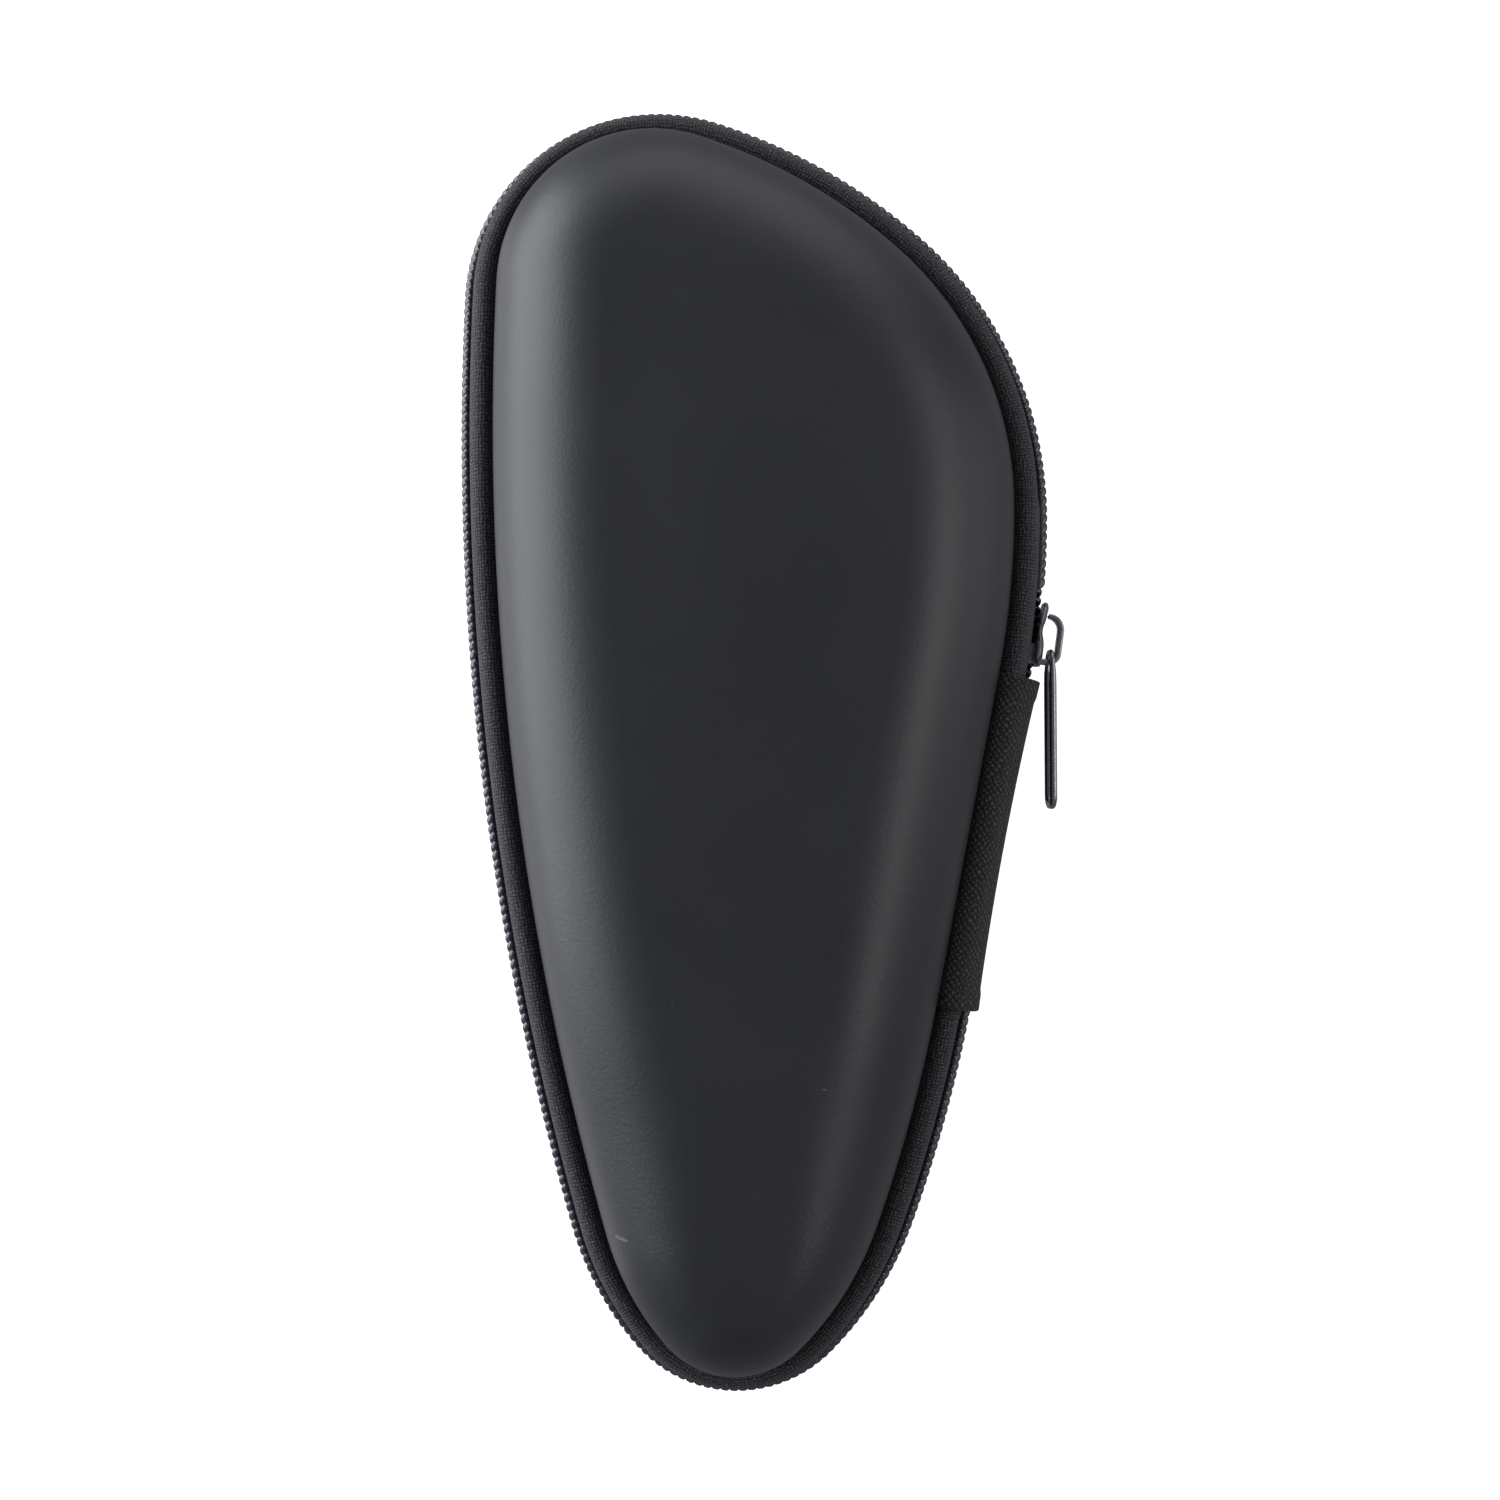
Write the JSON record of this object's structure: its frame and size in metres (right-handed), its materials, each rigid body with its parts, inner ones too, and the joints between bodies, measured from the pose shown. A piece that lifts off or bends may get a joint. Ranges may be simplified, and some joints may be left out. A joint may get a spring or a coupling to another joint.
{
  "type": "zippered hard case",
  "caption": "Moulded clamshell carrying case with a teardrop outline, woven edge tape, a coil zip with a wire pull, and a fabric hinge.",
  "frame": {"origin": "on the flat of the back shell, under the middle of the zip's outline", "axes": "+Z from the back shell to the front shell, +Y to the wide end, +X to the hinge side"},
  "size_m": [0.1026, 0.216, 0.062],
  "materials": {
    "shell_leather": "satin synthetic leather, fine grain",
    "foam": "closed-cell foam, matt",
    "lining": "short knit, matt",
    "tape": "woven, matt",
    "coil": "nylon monofilament, semi-gloss",
    "binding": "ribbed binding tape, matt",
    "dark_metal": "dark nickel plate, bright edges"
  },
  "bodies": {
    "back_half": {"back_shell_skin": "shell_leather", "back_shell_core": "foam", "back_lining": "lining", "back_zip_tape": "tape", "back_zip_coil": "coil", "back_inner_binding": "binding", "hinge_fabric": "tape", "hinge_lining": "binding"},
    "front_half": {"front_shell_skin": "shell_leather", "front_shell_core": "foam", "front_lining": "lining", "front_zip_tape": "tape", "front_zip_coil": "coil", "front_inner_binding": "binding"},
    "slider": {"slider_body": "dark_metal", "slider_bail": "dark_metal"},
    "pull": {"pull_loop": "dark_metal"}
  },
  "joints": [
    {"name": "lid_hinge", "type": "hinge", "parent": "back_half", "child": "front_half", "pos_m": [0.04402, -0.01676, 0.031], "axis": [0.1908, 0.9816, 0], "range_deg": [0, 180], "deforming": ["hinge_fabric", "hinge_lining"]},
    {"name": "slider_travel", "type": "hinge", "parent": "back_half", "child": "slider", "pos_m": [-0.10038, 0.03958, 0.031], "axis": [0, 0, 1], "range_deg": [0, 5.6]},
    {"name": "pull_flip", "type": "hinge", "parent": "slider", "child": "pull", "pos_m": [0.0502, 0.01593, 0.031], "axis": [0, 0, 1], "range_deg": [0, 165]}
  ]
}
